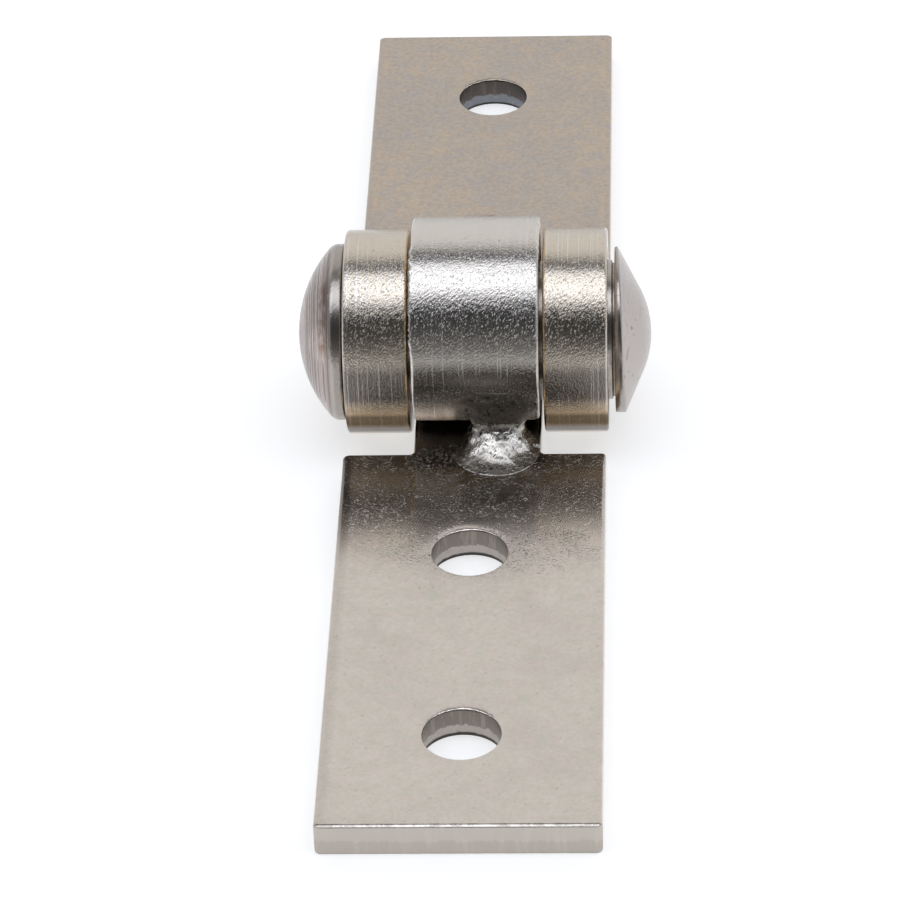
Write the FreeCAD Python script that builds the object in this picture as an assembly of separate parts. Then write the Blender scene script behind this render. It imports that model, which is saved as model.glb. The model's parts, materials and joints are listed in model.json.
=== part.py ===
"""Folding door hinge: two flat bars with rolled eyes on one rivet pin, lying open and flat.

Frame: +X runs along the pin, +Y towards the rear leaf's free end, +Z up. The undersides of both
leaves lie on z = 0, and the origin is midway between the leaf ends, under the pin's axis.
All lengths are in millimetres and all angles in degrees.
"""
import FreeCAD, Part
import math
import os
from dataclasses import dataclass

Vector = FreeCAD.Vector
ACROSS = Vector(1, 0, 0)
ALONG = Vector(0, 1, 0)
UP = Vector(0, 0, 1)
HALF_TURN = 180.0
QUARTER_TURN = 90.0
SPARE = 1.0         # how far a cutting tool runs past what it cuts
SAME = 0.01         # lengths that differ by less count as equal
PARALLEL = 0.999    # directions whose cosine is more count as parallel

# The flat bar that both leaves are cut from
bar_thickness = 3.8
bar_width = 30.0
edge_radius = 0.5           # along the bar's long edges and round the outsides of the eyes
leaf_reach = 78.4           # from the pin's axis to either leaf's free end
end_corner_radius = 0.7     # in plan, at the sheared free ends
end_bevel_run = 0.35        # along the leaf, where the sheared end rolls over at its top
end_bevel_drop = 0.55
shoulder_reach = 13.2       # from the pin's axis to the notched shoulders
notch_corner_radius = 0.6

# The rolled eyes
eye_wall = 3.65             # the bar draws down to this where it is rolled
front_eye_slack = 1.56      # how much wider the front eye is rolled than the pin needs
front_eye_width = 14.5
front_eye_offset = 0.3      # the front bar was notched this far right of its middle
eye_gap = 0.42              # between the front eye and each rear eye, along the pin
front_curl_end_angle = 26.0     # the curl stops this far below the height of the eye's centre
rear_curl_end_angle = 24.0
curl_corner_radius = 0.9

# The rivet pin
pin_diameter = 16.0
running_clearance = 0.08    # radial, between the pin and the eye wall that bears on it
turned_head_diameter = 20.3
turned_head_rim = 1.35
turned_head_dome = 4.1
turned_head_shoulder = 0.8      # the rounding between the dome and the rim
turned_head_gap = 0.2           # between the turned head and the left rear eye
turned_head_edge_break = 0.2
pressed_head_diameter = 19.1
pressed_head_rim = 0.75         # on average: the cap was pressed on askew
pressed_head_tilt = 2.4
pressed_head_thick_side = 36.0  # where the rim is thickest, from straight down towards the front
pressed_head_dome = 3.4
pressed_head_crown_share = 0.728    # the round crown's radius, as a share of a plain cap's
pressed_head_gap = 0.8          # between the pressed head and the right rear eye
neck_groove_depth = 0.3
neck_groove_width = 0.3

# The punched screw holes, two in each leaf
hole_diameter = 8.5
inner_hole_reach = 31.7     # from the pin's axis
outer_hole_margin = 15.0    # from the leaf's free end
hole_land_depth = 2.4       # the sheared land, below which the slug broke away wider
hole_breakout = 0.22        # radial, at the underside

# The welds that close the curls
front_weld_offset = 2.3     # from the middle of the front eye, towards the right
front_weld_width = 5.9      # at the waist
rear_weld_width = 3.6
weld_climb = 7.6            # above the leaf, up the outside of the curl
weld_toe_reach = 8.7        # along the leaf, out from under the curl
weld_toe_spread = 1.66      # width at the leaf, as a share of the waist's
weld_crown_spread = 1.24    # width on the curl, as a share of the waist's

pin_radius = pin_diameter / 2
bearing_radius = pin_radius + running_clearance
pin_height = bearing_radius + eye_wall
front_eye_half = front_eye_width / 2
rear_eye_inner = front_eye_half + eye_gap
rear_eye_outer = bar_width / 2
outer_hole_reach = leaf_reach - outer_hole_margin


@dataclass(frozen=True)
class Eye:
    """A bar end rolled into an eye that stands on the leaf's own underside plane."""

    outer: float
    curl_end: float

    @property
    def bore(self):
        """Inner radius of the roll."""
        return self.outer - eye_wall

    def at(self, radius, angle, x=0.0):
        """A point at a radius and angle about the eye's own centre, 0 pointing away from the leaf."""
        turn = math.radians(angle)
        return Vector(x, radius * math.cos(turn), self.outer + radius * math.sin(turn))

    def face_at(self, height):
        """How far the roll's outside stands from the centre, level with a height."""
        return math.sqrt(self.outer ** 2 - (height - self.outer) ** 2)


rear_eye = Eye(pin_height, rear_curl_end_angle)
front_eye = Eye(pin_height + front_eye_slack / 2, front_curl_end_angle)


def face_of(*edges):
    """A flat face inside edges that follow each other round."""
    return Part.Face(Part.Wire(list(edges)))


def arc(start, middle, end):
    """A circular edge through three points."""
    return Part.Arc(start, middle, end).toShape()


def line(start, end):
    """A straight edge."""
    return Part.LineSegment(start, end).toShape()


def under_pin_reach(eye):
    """How far from the pin's axis the bar's upper face runs out into the eye's bore."""
    return math.sqrt(eye.bore ** 2 - (eye.outer - bar_thickness) ** 2)


def rolled_bar(eye):
    """The bar in side view, flat from its free end and rolled into its eye, carried across its width.

    It is drawn for a leaf that lies towards -Y.
    """
    half = bar_width / 2
    last = HALF_TURN + eye.curl_end
    half_way = (last - QUARTER_TURN) / 2
    heel = Vector(-half, -leaf_reach, 0)
    root = Vector(-half, 0, 0)
    lip_out = eye.at(eye.outer, last, -half)
    lip_in = eye.at(eye.bore, last, -half)
    crotch = Vector(-half, -under_pin_reach(eye), bar_thickness)
    bevel_top = Vector(-half, -leaf_reach + end_bevel_run, bar_thickness)
    bevel_foot = Vector(-half, -leaf_reach, bar_thickness - end_bevel_drop)
    outside = arc(root, eye.at(eye.outer, half_way, -half), lip_out)
    inside = arc(lip_in, eye.at(eye.bore, half_way, -half), crotch)
    side = face_of(line(heel, root), outside, line(lip_out, lip_in), inside,
                   line(crotch, bevel_top), line(bevel_top, bevel_foot), line(bevel_foot, heel))
    return side.extrude(ACROSS * bar_width)


def upright_block(x_low, x_high, y_low, y_high, height):
    """A block that reaches from below the leaf to above a height."""
    corner = Vector(x_low, y_low, -SPARE)
    return Part.makeBox(x_high - x_low, y_high - y_low, height + 2 * SPARE, corner)


def is_upright(edge):
    """Whether an edge runs straight up."""
    return abs(edge.tangentAt(edge.FirstParameter).dot(UP)) > PARALLEL


def notch(x_low, x_high, eye, square_sides):
    """The tool that parts the bar between a shoulder and the far side of the eye.

    Its inner corners are rounded, apart from those on the sides that run out of the bar.
    """
    tool = upright_block(x_low, x_high, -shoulder_reach, eye.outer + SPARE, 2 * eye.outer)
    corners = [e for e in tool.Edges
               if is_upright(e)
               and abs(e.BoundBox.YMin + shoulder_reach) < SAME
               and all(abs(e.BoundBox.XMin - side) > SAME for side in square_sides)]
    return tool.makeFillet(notch_corner_radius, corners)


def round_free_end(leaf):
    """The leaf with the two upright corners of its sheared end rounded."""
    corners = [e for e in leaf.Edges if is_upright(e) and abs(e.BoundBox.YMin + leaf_reach) < SAME]
    return leaf.makeFillet(end_corner_radius, corners)


def screw_hole(reach):
    """The tool for one punched hole: a straight land, then the wider torn break-out."""
    land = hole_diameter / 2
    break_height = bar_thickness - hole_land_depth
    tall = break_height + SPARE
    centre = Vector(0, -reach, 0)
    straight = Part.makeCylinder(land, hole_land_depth + SPARE, centre + UP * break_height)
    torn = Part.makeCone(land + hole_breakout * tall / break_height, land, tall, centre - UP * SPARE)
    return straight.fuse(torn)


def eye_rims(leaf, eye):
    """The circular edges on the outside of a leaf's rolls."""
    return [e for e in leaf.Edges
            if isinstance(e.Curve, Part.Circle)
            and abs(e.Curve.Radius - eye.outer) < SAME
            and abs(e.Curve.Axis.dot(ACROSS)) > PARALLEL]


def lip_corners(leaf, eye):
    """The short edges at the two ends of each curl's lip, where it meets the eye's sides."""
    lip = eye.at(1, HALF_TURN + eye.curl_end) - eye.at(0, 0)
    return [e for e in leaf.Edges
            if isinstance(e.Curve, Part.Line)
            and abs(e.Length - eye_wall) < SAME
            and abs(e.tangentAt(e.FirstParameter).dot(lip)) > PARALLEL]


def under_edges(leaf):
    """The two long straight edges along the underside of the bar."""
    found = []
    for edge in leaf.Edges:
        ends = [v.Point for v in edge.Vertexes]
        on_side = all(abs(abs(p.x) - bar_width / 2) < SAME and abs(p.z) < SAME for p in ends)
        if on_side and edge.Length > leaf_reach / 2:
            found.append(edge)
    return found


def top_edge_tool(side, eye):
    """The sliver outside a quarter round, along one upper edge of the bar as far as the eye's bore.

    side is -1 for the left edge and 1 for the right one.
    """
    flat = side * (bar_width / 2 - edge_radius)
    rim = side * bar_width / 2
    beyond = rim + side * SPARE
    start = -leaf_reach - SPARE
    low = bar_thickness - edge_radius
    diagonal = edge_radius * math.sqrt(0.5)
    quarter = arc(Vector(flat, start, bar_thickness),
                  Vector(flat + side * diagonal, start, low + diagonal),
                  Vector(rim, start, low))
    section = face_of(quarter,
                      line(Vector(rim, start, low), Vector(beyond, start, low)),
                      line(Vector(beyond, start, low), Vector(beyond, start, bar_thickness)),
                      line(Vector(beyond, start, bar_thickness), Vector(flat, start, bar_thickness)))
    return section.extrude(ALONG * (-start - under_pin_reach(eye)))


def leaf_blank(eye, notches):
    """A leaf as it comes from the tools: rolled, notched, punched and with its edges eased."""
    leaf = rolled_bar(eye)
    for tool in notches:
        leaf = leaf.cut(tool)
    leaf = leaf.makeFillet(curl_corner_radius, lip_corners(leaf, eye))
    leaf = round_free_end(leaf)
    leaf = leaf.makeFillet(edge_radius, under_edges(leaf) + eye_rims(leaf, eye))
    for side in (-1, 1):
        leaf = leaf.cut(top_edge_tool(side, eye))
    for reach in (inner_hole_reach, outer_hole_reach):
        leaf = leaf.cut(screw_hole(reach))
    return leaf


def turned_round(shape):
    """A shape drawn for the front leaf, turned half round about +Z onto the rear leaf."""
    return shape.rotated(Vector(0, 0, 0), UP, HALF_TURN)


def make_front_leaf():
    """The front leaf, whose middle tongue is rolled into the one wide eye."""
    beyond = bar_width / 2 + SPARE
    left = notch(-beyond, front_eye_offset - front_eye_half, front_eye, (-beyond,))
    right = notch(front_eye_offset + front_eye_half, beyond, front_eye, (beyond,))
    leaf = leaf_blank(front_eye, (left, right))
    return leaf.translated(-ACROSS * front_eye_offset)


def make_rear_leaf():
    """The rear leaf, whose two outer tongues are rolled into the narrow eyes."""
    middle = notch(-rear_eye_inner, rear_eye_inner, rear_eye, ())
    return turned_round(leaf_blank(rear_eye, (middle,)))


def revolved(*edges):
    """The solid that a closed half outline sweeps about the X axis."""
    return face_of(*edges).revolve(Vector(0, 0, 0), ACROSS, 2 * HALF_TURN)


def joined_lines(*places):
    """Straight edges from each (x, radius) place to the next."""
    points = [Vector(x, 0, radius) for x, radius in places]
    return [line(a, b) for a, b in zip(points, points[1:])]


def cap_radius(rim, rise):
    """The radius of the spherical cap that rises this much from its rim's radius."""
    return (rim ** 2 + rise ** 2) / (2 * rise)


def crown_at(radius, centre, angle):
    """The point of a round crown at an angle from the axis, its centre at x = centre."""
    turn = math.radians(angle)
    return Vector(centre + radius * math.cos(turn), 0, radius * math.sin(turn))


def turned_half():
    """The turned head and the shank, as one turned piece about the X axis."""
    under = -rear_eye_outer - turned_head_gap
    end = rear_eye_outer + pressed_head_gap
    rim = under - turned_head_rim
    big = turned_head_diameter / 2
    neck = pin_radius - neck_groove_depth
    crown = cap_radius(big, turned_head_dome)
    centre = rim - turned_head_dome + crown
    last = math.degrees(math.asin(big / crown))
    tip = crown_at(crown, centre, HALF_TURN)
    corner = crown_at(crown, centre, HALF_TURN - last)
    dome = arc(tip, crown_at(crown, centre, HALF_TURN - last / 2), corner)
    outside = joined_lines((rim, big), (under - turned_head_edge_break, big),
                           (under, big - turned_head_edge_break), (under, pin_radius),
                           (end - neck_groove_width, pin_radius), (end - neck_groove_width, neck),
                           (end + pressed_head_rim, neck), (end + pressed_head_rim, 0), (tip.x, 0))
    solid = revolved(dome, *outside)
    shoulder = [e for e in solid.Edges
                if abs(e.Length - math.tau * big) < SAME and abs(e.CenterOfMass.x - rim) < SAME]
    return solid.makeFillet(turned_head_shoulder, shoulder)


def pressed_head():
    """The pressed head: straight flanks tangent to a round crown, tilted, with a level underside."""
    under = rear_eye_outer + pressed_head_gap
    small = pressed_head_diameter / 2
    radius = cap_radius(small, pressed_head_dome) * pressed_head_crown_share
    centre = pressed_head_dome - radius
    to_rim = math.hypot(small, centre)
    tangent = math.degrees(math.atan2(small, -centre) - math.acos(radius / to_rim))
    crown_end = crown_at(radius, centre, tangent)
    tip = crown_at(radius, centre, 0)
    crown = arc(tip, crown_at(radius, centre, tangent / 2), crown_end)
    back = -pressed_head_rim - pressed_head_diameter * math.sin(math.radians(pressed_head_tilt))
    cap = revolved(crown, *joined_lines((crown_end.x, crown_end.z), (0, small), (back, small),
                                        (back, 0), (tip.x, 0)))
    side = math.radians(pressed_head_thick_side)
    tilt_axis = Vector(0, -math.cos(side), math.sin(side))
    cap.rotate(Vector(0, 0, 0), tilt_axis, pressed_head_tilt)
    cap.translate(ACROSS * (under + pressed_head_rim))
    width = pressed_head_diameter + 2 * SPARE
    depth = pressed_head_diameter
    waste = Part.makeBox(depth, width, width, Vector(under - depth, -width / 2, -width / 2))
    return cap.cut(waste)


def make_pin():
    """The rivet pin: a turned dome on the left, a plain shank and a pressed dome on the right."""
    solid = turned_half().fuse(pressed_head()).removeSplitter()
    return solid.Solids[0].translated(UP * pin_height)


# Each station of a weld: height as a share of its climb, width as a share of its waist, and how
# far it stands out from the curl as a share of the toe's reach
weld_stations = (
    (-0.12, weld_toe_spread, 1.10),
    (0.03, weld_toe_spread * 0.97, 0.90),
    (0.14, (weld_toe_spread + 1) / 2, 0.58),
    (0.30, 1.0, 0.36),
    (0.46, (weld_crown_spread + 1) / 2, 0.27),
    (0.66, weld_crown_spread, 0.17),
    (0.84, weld_crown_spread * 0.85, 0.08),
    (1.0, weld_crown_spread * 0.45, 0.01),
)


def curl_weld(eye, leaf, x_middle, waist):
    """A lump of weld that rises from its toe on the leaf, draws in at the gap and climbs the curl.

    It is a smooth loft through level ellipses, cut to seat on the bar's faces and to leave the
    pin's room free.
    """
    rings = []
    for climb, spread, stand_out in weld_stations:
        height = bar_thickness + climb * weld_climb
        front = -eye.face_at(height) - stand_out * weld_toe_reach
        back = -eye.face_at(height) + eye_wall
        wide, deep = waist * spread / 2, (back - front) / 2
        centre = Vector(x_middle, (front + back) / 2, height)
        along, across = (ACROSS, ALONG) if wide >= deep else (ALONG, ACROSS)
        ring = Part.Ellipse(centre + along * max(wide, deep), centre + across * min(wide, deep), centre)
        rings.append(Part.Wire([ring.toShape()]))
    lump = Part.makeLoft(rings, True, False)
    room = Part.makeCylinder(eye.bore, bar_width, Vector(-bar_width / 2, 0, eye.outer), ACROSS)
    lump = lump.cut(room).cut(leaf)
    return max(lump.Solids, key=lambda piece: piece.Volume)


def main():
    """Build every piece and write one STEP file for each."""
    front_leaf = make_front_leaf()
    rear_leaf = make_rear_leaf()
    rear_drawn = turned_round(rear_leaf)
    rear_eye_middle = (rear_eye_inner + rear_eye_outer) / 2
    pieces = {
        "front_leaf": front_leaf,
        "rear_leaf": rear_leaf,
        "hinge_pin": make_pin(),
        "front_curl_weld": curl_weld(front_eye, front_leaf, front_weld_offset, front_weld_width),
    }
    for side, place in (("left", 1), ("right", -1)):
        weld = curl_weld(rear_eye, rear_drawn, place * rear_eye_middle, rear_weld_width)
        pieces["rear_curl_weld_" + side] = turned_round(weld)
    os.makedirs("parts", exist_ok=True)
    for name, shape in pieces.items():
        shape.exportStep("parts/" + name + ".step")
        box = shape.optimalBoundingBox(False, False)
        print(name, len(shape.Solids), shape.isValid(), round(shape.Volume, 1),
              [round(v, 2) for v in (box.XMin, box.XMax, box.YMin, box.YMax, box.ZMin, box.ZMax)])


main()
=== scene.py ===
"""Folding door hinge in nickel-plated steel, lying open and flat on a pale floor.

Two flat bars are rolled into eyes on one rivet pin, and small welds close the rolls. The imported
model is the frame: +X runs along the pin, +Y towards the rear leaf's free end, +Z up. Sizes are
in millimetres unless a name says otherwise, and meshes are written in metres.
"""
import json
import logging
import math
from dataclasses import dataclass, field
from enum import Enum
from typing import Optional, Sequence

import bmesh
import bpy
import numpy as np
from mathutils import Matrix, Vector


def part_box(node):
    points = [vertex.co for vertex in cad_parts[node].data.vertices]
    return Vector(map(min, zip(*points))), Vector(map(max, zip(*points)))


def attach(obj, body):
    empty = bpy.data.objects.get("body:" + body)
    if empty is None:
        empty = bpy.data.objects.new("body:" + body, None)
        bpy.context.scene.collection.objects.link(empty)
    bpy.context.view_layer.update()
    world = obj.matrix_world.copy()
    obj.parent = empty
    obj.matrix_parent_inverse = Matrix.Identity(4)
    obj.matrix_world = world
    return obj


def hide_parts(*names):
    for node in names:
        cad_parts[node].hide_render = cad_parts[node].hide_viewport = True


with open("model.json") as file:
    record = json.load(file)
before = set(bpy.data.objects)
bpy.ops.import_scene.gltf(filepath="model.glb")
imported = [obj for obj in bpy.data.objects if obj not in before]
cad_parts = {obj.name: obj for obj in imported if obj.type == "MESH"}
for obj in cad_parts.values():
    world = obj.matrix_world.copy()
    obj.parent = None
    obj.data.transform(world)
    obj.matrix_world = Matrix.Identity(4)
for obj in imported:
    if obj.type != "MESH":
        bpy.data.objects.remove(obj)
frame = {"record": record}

LOG = logging.getLogger("hinge")
MM = 0.001
MICRON = 1e-6
Colour = tuple[float, float, float]
WHITE: Colour = (1.0, 1.0, 1.0)
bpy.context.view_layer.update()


class Slot(Enum):
    """The record's material slots."""

    FRONT = "front_plating"
    REAR = "rear_plating"
    PIN = "pin_plating"
    WELD = "weld_plating"


class Body(Enum):
    """The bodies that the pieces ride on."""

    REAR = "rear_side"
    FRONT = "front_side"
    RIVET = "rivet"


def node_box(node: str) -> np.ndarray:
    """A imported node's lowest and highest corners, in millimetres."""
    return np.array([list(corner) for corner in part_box(node)]) / MM


def mount(name: str) -> dict:
    """The record's mount of a name."""
    return next(m for m in frame["record"]["mounts"] if m["name"] == name)


# Surfaces: patches of quads worked out as whole arrays


@dataclass
class Patch:
    """A grid of points with the finish number of its faces.

    Attributes:
        points: Rows by columns by 3, in millimetres.
        closed: Whether the last column joins the first.
        finish: Index of the material slot.
    """

    points: np.ndarray
    closed: bool = False
    finish: int = 0

    def quads(self, start: int) -> np.ndarray:
        """The corner numbers of each quad, when the patch's first point has the start's number."""
        rows, columns = self.points.shape[:2]
        number = start + np.arange(rows * columns).reshape(rows, columns)
        if self.closed:
            number = np.concatenate([number, number[:, :1]], axis=1)
        corners = (number[:-1, :-1], number[:-1, 1:], number[1:, 1:], number[1:, :-1])
        return np.stack([c.ravel() for c in corners], axis=1)


def build_piece(name: str, patches: Sequence[Patch], materials: Sequence[bpy.types.Material],
                weld: float = 2e-4) -> bpy.types.Object:
    """One closed, smoothly shaded object from patches that share their borders.

    Args:
        name: The piece's name.
        patches: The grids that make up its skin.
        materials: Its material slots, in the order of the patches' finish numbers.
        weld: Points nearer than this, in millimetres, become one.

    Returns:
        The new object, at the origin, with its faces outwards.
    """
    starts = np.cumsum([0] + [p.points.shape[0] * p.points.shape[1] for p in patches])
    points = np.concatenate([p.points.reshape(-1, 3) for p in patches]) * MM
    quads = [p.quads(s) for p, s in zip(patches, starts)]
    finish = np.repeat([p.finish for p in patches], [len(q) for q in quads])
    mesh = bpy.data.meshes.new(name)
    mesh.from_pydata(points.tolist(), [], np.concatenate(quads).tolist())
    mesh.polygons.foreach_set("material_index", finish.astype(np.int32))
    work = bmesh.new()
    work.from_mesh(mesh)
    bmesh.ops.remove_doubles(work, verts=work.verts, dist=weld * MM)
    bmesh.ops.dissolve_degenerate(work, edges=work.edges, dist=weld * MM / 10)
    bmesh.ops.recalc_face_normals(work, faces=work.faces)
    work.to_mesh(mesh)
    work.free()
    mesh.polygons.foreach_set("use_smooth", np.ones(len(mesh.polygons), dtype=bool))
    for material in materials:
        mesh.materials.append(material)
    piece = bpy.data.objects.new(name, mesh)
    bpy.context.scene.collection.objects.link(piece)
    return piece


def settle(piece: bpy.types.Object, body: Body, slot: Slot, *nodes: str) -> None:
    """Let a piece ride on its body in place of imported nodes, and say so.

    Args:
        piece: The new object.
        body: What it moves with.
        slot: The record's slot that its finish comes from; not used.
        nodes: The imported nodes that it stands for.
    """
    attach(piece, body.value)
    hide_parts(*nodes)
    LOG.info("%s: %d faces on %s", piece.name, len(piece.data.polygons), body.value)


def waves(points: np.ndarray, size: float, seed: int, count: int = 28) -> np.ndarray:
    """Smooth unevenness: the mean of plane sine waves in seeded directions.

    Args:
        points: Any array whose last axis is a place.
        size: The usual length of one wave, in the places' units.
        seed: Picks the directions and phases.
        count: How many waves are added.

    Returns:
        Values of about -1 to 1, one for each place.
    """
    random = np.random.default_rng(seed)
    heading = random.normal(size=(count, points.shape[-1]))
    heading /= np.linalg.norm(heading, axis=1, keepdims=True)
    pace = 2 * np.pi / (size * random.uniform(0.6, 1.6, count))
    phase = random.uniform(0, 2 * np.pi, count)
    return np.sin(points @ (heading * pace[:, None]).T + phase).sum(-1) / math.sqrt(count)


def pairs(across: object, along: object) -> np.ndarray:
    """Places as (across, along), with a single number repeated as often as it takes."""
    return np.stack(np.broadcast_arrays(across, along), axis=-1).astype(float)


def fixed(across: float, along: float, count: int) -> np.ndarray:
    """One place, repeated."""
    return pairs(across, np.full(count, along))


def straight(start: Sequence[float], end: Sequence[float], steps: int) -> np.ndarray:
    """Evenly spaced places from a start to just before an end."""
    share = np.linspace(0, 1, steps, endpoint=False)[:, None]
    return np.array(start) + (np.array(end) - np.array(start)) * share


def bend_round(centre: Sequence[float], radius: float, first: float, last: float,
               steps: int) -> np.ndarray:
    """Places on an arc in plan, from its first angle to just before its last, in degrees."""
    turn = np.radians(np.linspace(first, last, steps, endpoint=False))
    return np.array(centre) + radius * np.stack([np.cos(turn), np.sin(turn)], axis=-1)


# Finishes: node groups that several materials share, then the materials


@dataclass(frozen=True)
class Value:
    """What a node's socket gives, with arithmetic on it.

    Attributes:
        graph: The graph that the socket belongs to.
        socket: The socket.
        unit: What plain numbers that are compared or added with it are counted in.
    """

    graph: "Graph"
    socket: bpy.types.NodeSocket
    unit: float = 1.0

    def counted(self, term: object) -> object:
        """A term in this value's unit, when it is a plain number."""
        return term if isinstance(term, Value) else term * self.unit

    def __add__(self, term: object) -> "Value":
        return self.graph.math("ADD", self, self.counted(term), unit=self.unit)

    def __sub__(self, term: object) -> "Value":
        return self.graph.math("SUBTRACT", self, self.counted(term), unit=self.unit)

    def __rsub__(self, term: float) -> "Value":
        return self.graph.math("SUBTRACT", self.counted(term), self, unit=self.unit)

    def __mul__(self, term: object) -> "Value":
        return self.graph.math("MULTIPLY", self, term)

    def __abs__(self) -> "Value":
        return self.graph.math("ABSOLUTE", self, unit=self.unit)

    def ramp(self, low: object, high: object, to_low: float = 0.0, to_high: float = 1.0) -> "Value":
        """A smooth step from one value to another, between a low and a high place."""
        return self.graph.get("MapRange", 0, {"interpolation_type": "SMOOTHSTEP"}, i0=self,
                              i1=self.counted(low), i2=self.counted(high), i3=to_low, i4=to_high)

    def span(self, to_low: float, to_high: float) -> "Value":
        """A share from 0 to 1, spread evenly between two values."""
        return self.graph.get("MapRange", i0=self, i3=to_low, i4=to_high)

    def coat(self, share: object, colour: object) -> "Value":
        """This colour, covered by another one by a share."""
        return self.graph.blend(share, self, colour)


class Graph:
    """A node tree with short calls to add nodes and join them."""

    def __init__(self, tree: bpy.types.NodeTree) -> None:
        """Keep the tree that nodes are added to."""
        self.tree = tree

    def add(self, kind: str, settings: Optional[dict] = None, **inputs: object) -> bpy.types.Node:
        """Add a node and fill its inputs.

        Args:
            kind: The node's type, without its ShaderNode start.
            settings: Properties of the node itself.
            inputs: Values for its inputs, by name with _ for a space, or as i and a number.

        Returns:
            The node.
        """
        node = self.tree.nodes.new("ShaderNode" + kind)
        for key, value in (settings or {}).items():
            setattr(node, key, value)
        for key, value in inputs.items():
            numbered = key[0] == "i" and key[1:].isdigit()
            self.fill(node.inputs[int(key[1:]) if numbered else key.replace("_", " ")], value)
        return node

    def get(self, kind: str, output: object = 0, settings: Optional[dict] = None,
            unit: float = 1.0, **inputs: object) -> Value:
        """Add a node and take one of its outputs."""
        return Value(self, self.add(kind, settings, **inputs).outputs[output], unit)

    def group(self, tree: bpy.types.NodeTree, **inputs: object) -> dict[str, Value]:
        """Use a node group, and give its outputs by their names."""
        node = self.add("Group", {"node_tree": tree}, **inputs)
        return {socket.name: Value(self, socket) for socket in node.outputs}

    def fill(self, socket: bpy.types.NodeSocket, value: object) -> None:
        """Join a socket to a value, or set it to a number or a colour."""
        if isinstance(value, Value):
            self.tree.links.new(value.socket, socket)
        elif isinstance(value, tuple) and len(value) == 3 and socket.type == "RGBA":
            socket.default_value = (*value, 1.0)
        else:
            socket.default_value = value

    def shade(self, shader: str = "Principled BSDF", **inputs: object) -> None:
        """Fill the inputs of the tree's shader, by name with _ for a space."""
        for key, value in inputs.items():
            self.fill(self.tree.nodes[shader].inputs[key.replace("_", " ")], value)

    def math(self, operation: str, *terms: object, unit: float = 1.0) -> Value:
        """One arithmetic step on numbers."""
        numbered = {f"i{number}": term for number, term in enumerate(terms)}
        return self.get("Math", 0, {"operation": operation}, unit, **numbered)

    def blend(self, share: object, first: object, second: object) -> Value:
        """Mix two colours by a share."""
        return self.get("Mix", 2, {"data_type": "RGBA"}, Factor=share, i6=first, i7=second)

    def noise(self, vector: Value, per_metre: object, detail: float = 2.0, rough: float = 0.5,
              twist: float = 0.0) -> Value:
        """Soft noise of about so many grains to the metre."""
        return self.get("TexNoise", "Fac", Vector=vector, Scale=per_metre, Detail=detail,
                        Roughness=rough, Distortion=twist)

    def bump(self, height: Value, distance: object, below: Optional[Value] = None) -> Value:
        """A normal tilted by a height map, over the relief below it."""
        more = {} if below is None else {"Normal": below}
        return self.get("Bump", "Normal", Height=height, Distance=distance, Strength=1.0, **more)


def new_group(name: str, inputs: Sequence[tuple[str, str, object]],
              outputs: Sequence[str]) -> tuple[Graph, dict[str, Value], bpy.types.Node]:
    """An empty node group with named sockets.

    Args:
        name: The group's name.
        inputs: Name, kind and default of each input.
        outputs: Name of each output, a number.

    Returns:
        Its graph, its inputs by name, and its output node.
    """
    tree = bpy.data.node_groups.new(name, "ShaderNodeTree")
    for title, kind, default in inputs:
        socket = tree.interface.new_socket(title, in_out="INPUT", socket_type="NodeSocket" + kind)
        if default is not None:
            socket.default_value = default
    for title in outputs:
        tree.interface.new_socket(title, in_out="OUTPUT", socket_type="NodeSocketFloat")
    graph = Graph(tree)
    taken = tree.nodes.new("NodeGroupInput")
    values = {title: Value(graph, taken.outputs[title]) for title, _, _ in inputs}
    return graph, values, tree.nodes.new("NodeGroupOutput")


def stain_group() -> bpy.types.NodeTree:
    """Cloudy stains: soft, bent noise, stepped into patches with ragged borders."""
    graph, taken, given = new_group(
        "stain_patches", [("Vector", "Vector", None), ("Grains", "Float", 100.0),
                          ("Cover", "Float", 0.5), ("Softness", "Float", 0.12)], ["Mask"])
    cloud = graph.noise(taken["Vector"], taken["Grains"], 3.0, 0.6, 0.6)
    low, high = taken["Cover"] - taken["Softness"], taken["Cover"] + taken["Softness"]
    graph.fill(given.inputs["Mask"], cloud.ramp(low, high))
    return graph.tree


def grain_group() -> bpy.types.NodeTree:
    """Fine grain of the plating: two sizes of noise and steep specks, drawn out along a slant.

    The place is shortened along the lean, so that grains come out longer that way.
    """
    graph, taken, given = new_group(
        "plating_grain", [("Vector", "Vector", None), ("Grains", "Float", 3000.0),
                          ("Lean", "Vector", (0.35, 0.662, 0.662))], ["Height", "Pits"])
    place, lean = taken["Vector"], taken["Lean"]
    along = graph.get("VectorMath", "Value", {"operation": "DOT_PRODUCT"}, i0=place, i1=lean)
    back = graph.get("VectorMath", "Vector", {"operation": "SCALE"}, i0=lean, Scale=along * -0.62)
    place = graph.get("VectorMath", "Vector", {"operation": "ADD"}, i0=place, i1=back)
    fine = graph.noise(place, taken["Grains"], 2.0, 0.65)
    coarse = graph.noise(place, taken["Grains"] * 0.33, 2.0, 0.6)
    specks = fine.ramp(0.61, 0.72, 0.0, 0.4)
    graph.fill(given.inputs["Height"], coarse * 0.4 + fine + specks)
    graph.fill(given.inputs["Pits"], coarse.ramp(0.34, 0.27))
    return graph.tree


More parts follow.
